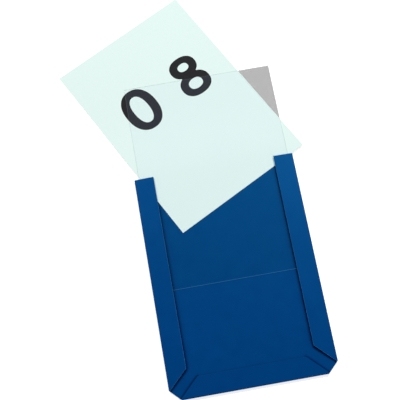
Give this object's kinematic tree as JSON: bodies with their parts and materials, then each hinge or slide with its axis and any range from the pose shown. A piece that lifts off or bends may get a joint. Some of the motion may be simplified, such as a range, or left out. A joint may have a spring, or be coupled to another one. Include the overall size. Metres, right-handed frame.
{
  "type": "magnetic document pocket",
  "caption": "Flat document pocket folded from one stiff sheet, with magnetic strips on its rear, a clear cover film half drawn out and a loose page.",
  "frame": {"origin": "middle of the lower magnetic strip's rear face, on the surface that the pocket is stuck to", "axes": "+Z out of the pocket's front, +Y towards its open end, +X to the right seen from the front"},
  "size_m": [0.3234, 0.5834, 0.0056],
  "materials": {
    "blue_sheet": "satin",
    "clear_film": "clear gloss",
    "page_paper": "matt, pale green",
    "magnet_strip": "matt"
  },
  "bodies": {
    "root": {"folded_sleeve": "blue_sheet", "clear_cover_film": "clear_film", "document_sheet": "page_paper", "lower_magnet_strip": "magnet_strip", "upper_magnet_strip": "magnet_strip"}
  },
  "joints": []
}
